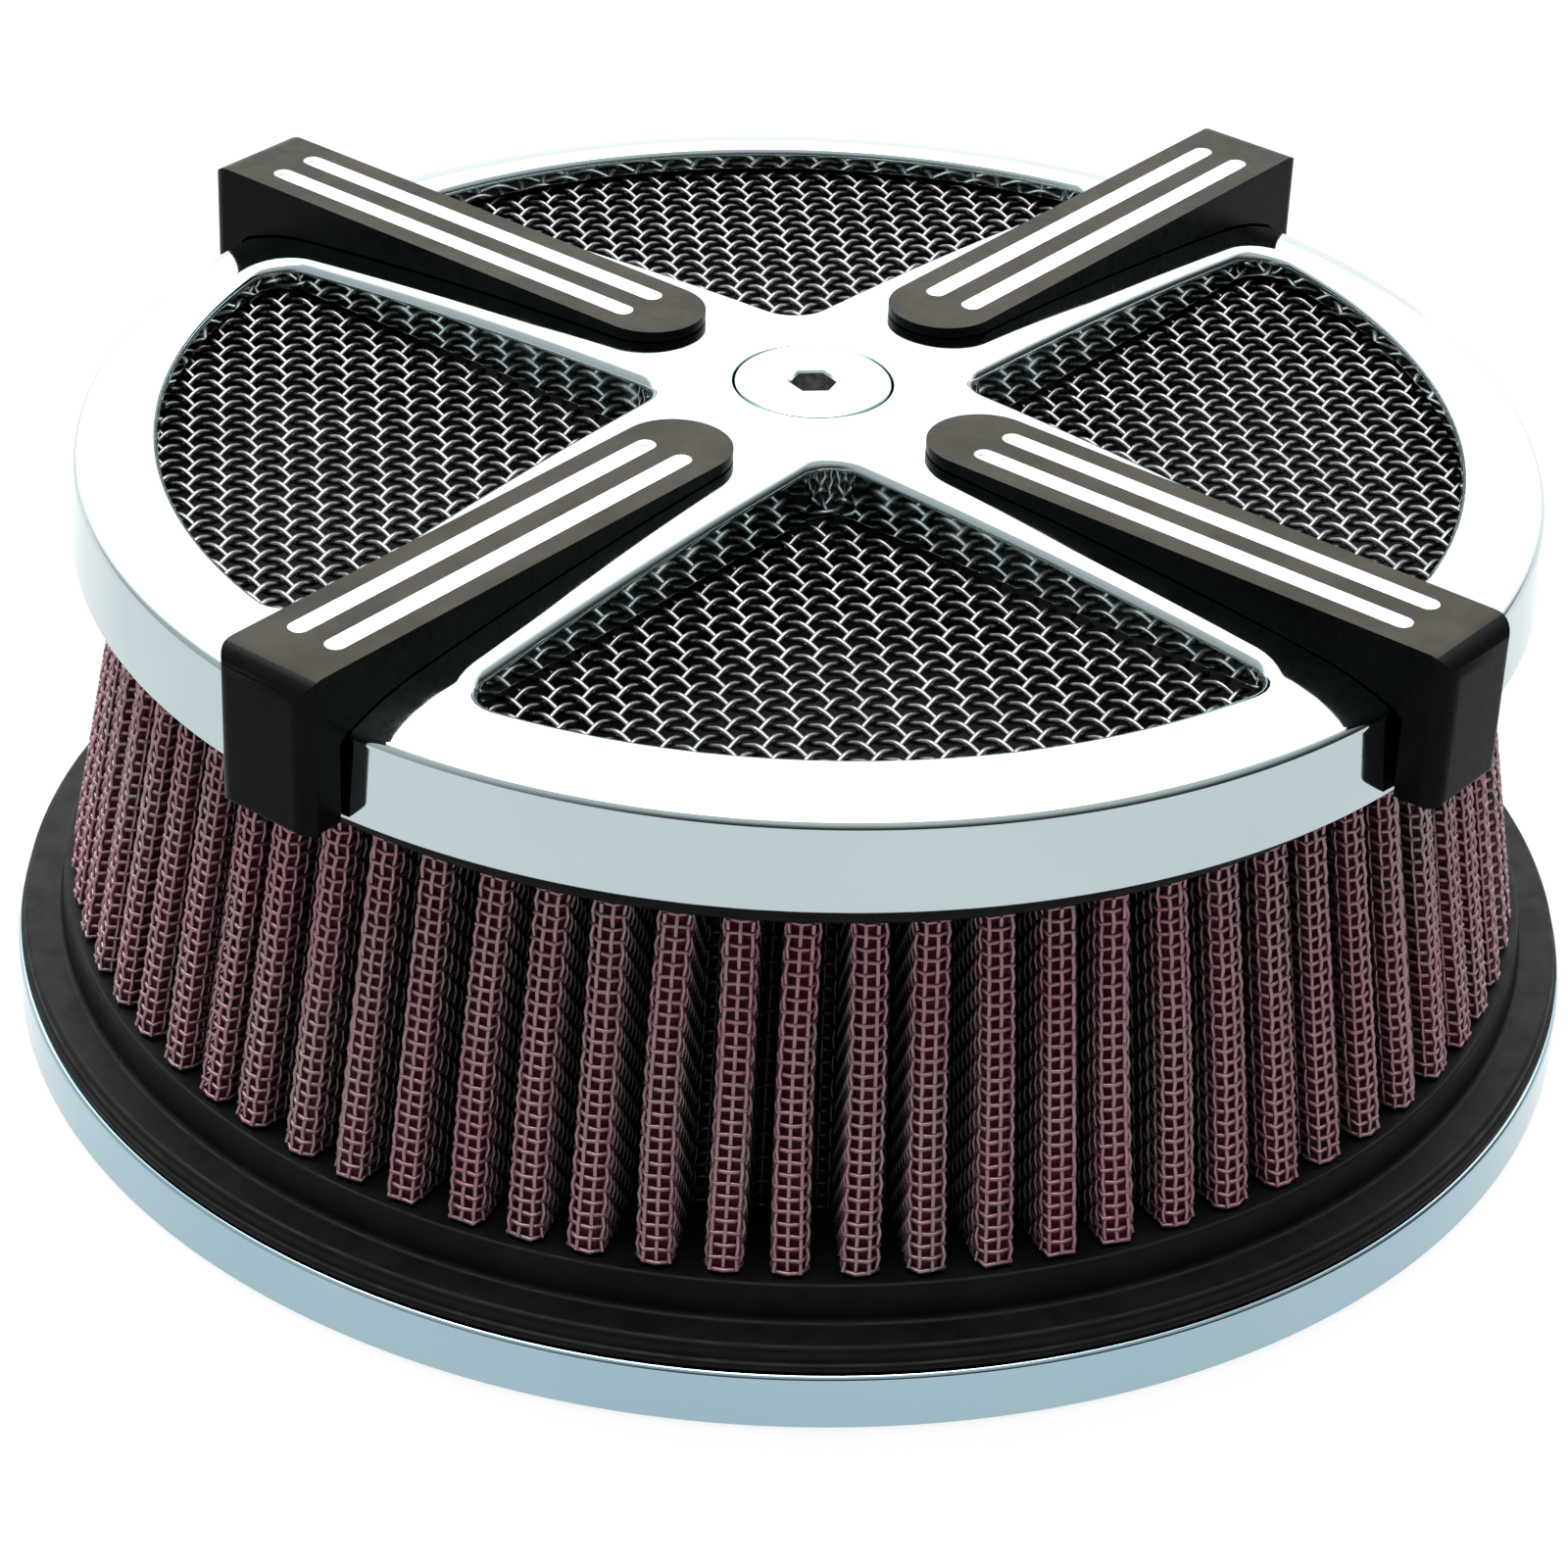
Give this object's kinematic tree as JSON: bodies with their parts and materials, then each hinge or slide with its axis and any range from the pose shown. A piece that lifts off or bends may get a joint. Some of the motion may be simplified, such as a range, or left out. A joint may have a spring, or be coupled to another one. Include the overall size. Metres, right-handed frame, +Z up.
{
  "type": "motorcycle air cleaner",
  "caption": "Round motorcycle air cleaner: chrome backplate, tapered pleated gauze element and chrome cover with mesh windows and black grooved claws, held by a centre screw.",
  "frame": {"origin": "centre of the circle on which the backplate's rim stands", "axes": "+Z up out of the cover along the centre screw, -Y towards the front window, the cover's four arms at 45 degrees to X and Y"},
  "size_m": [0.1864, 0.1864, 0.0783],
  "materials": {
    "chrome": "polished chrome plate",
    "black_anodised": "satin black anodised aluminium with bright milled grooves",
    "urethane": "moulded black urethane, satin",
    "red_gauze": "oiled red cotton gauze",
    "screen_wire": "fine woven wire screen, dulled by oil",
    "window_wire": "plain-woven crimped steel wire",
    "aluminium": "spun, satin",
    "zinc_steel": "bright zinc plate",
    "gasket_fibre": "matt fibre gasket sheet"
  },
  "bodies": {
    "backplate": {"backplate": "chrome", "throttle_gasket": "gasket_fibre", "velocity_stack": "aluminium", "bridge_bracket": "zinc_steel", "centre_post": "zinc_steel", "post_nut": "zinc_steel", "throttle_screw_1": "zinc_steel", "throttle_screw_2": "zinc_steel", "throttle_screw_3": "zinc_steel", "breather_washer_left": "gasket_fibre", "breather_bolt_left": "zinc_steel", "breather_washer_right": "gasket_fibre", "breather_bolt_right": "zinc_steel"},
    "element": {"element_base": "urethane", "outer_wire_screen": "screen_wire", "pleated_gauze": "red_gauze", "inner_wire_screen": "screen_wire", "element_top_cap": "urethane", "cap_bush": "zinc_steel"},
    "cover": {"cover": "chrome", "window_mesh_right": "window_wire", "window_mesh_rear": "window_wire", "window_mesh_left": "window_wire", "window_mesh_front": "window_wire", "claw_front_left": "black_anodised", "claw_screw_front_left_inner": "zinc_steel", "claw_screw_front_left_outer": "zinc_steel", "claw_front_right": "black_anodised", "claw_screw_front_right_inner": "zinc_steel", "claw_screw_front_right_outer": "zinc_steel", "claw_rear_right": "black_anodised", "claw_screw_rear_right_inner": "zinc_steel", "claw_screw_rear_right_outer": "zinc_steel", "claw_rear_left": "black_anodised", "claw_screw_rear_left_inner": "zinc_steel", "claw_screw_rear_left_outer": "zinc_steel"},
    "screw_carrier": {"screw_washer": "gasket_fibre"},
    "cover_screw": {"cover_screw": "chrome"}
  },
  "joints": [
    {"name": "element_lift", "type": "slide", "parent": "backplate", "child": "element", "axis": [0, 0, 1], "range_m": [0, 0.075]},
    {"name": "cover_lift", "type": "slide", "parent": "element", "child": "cover", "axis": [0, 0, 1], "range_m": [0, 0.04]},
    {"name": "cover_screw_rise", "type": "slide", "parent": "cover", "child": "screw_carrier", "axis": [0, 0, 1], "range_m": [0, 0.0128]},
    {"name": "cover_screw_turn", "type": "hinge", "parent": "screw_carrier", "child": "cover_screw", "pos_m": [0, 0, 0.0773], "axis": [0, 0, 1], "range_deg": [0, 3240]}
  ],
  "couplings": [
    {"joint": "cover_screw_rise", "follows": "cover_screw_turn", "m_per_rad": 0.00022459}
  ]
}
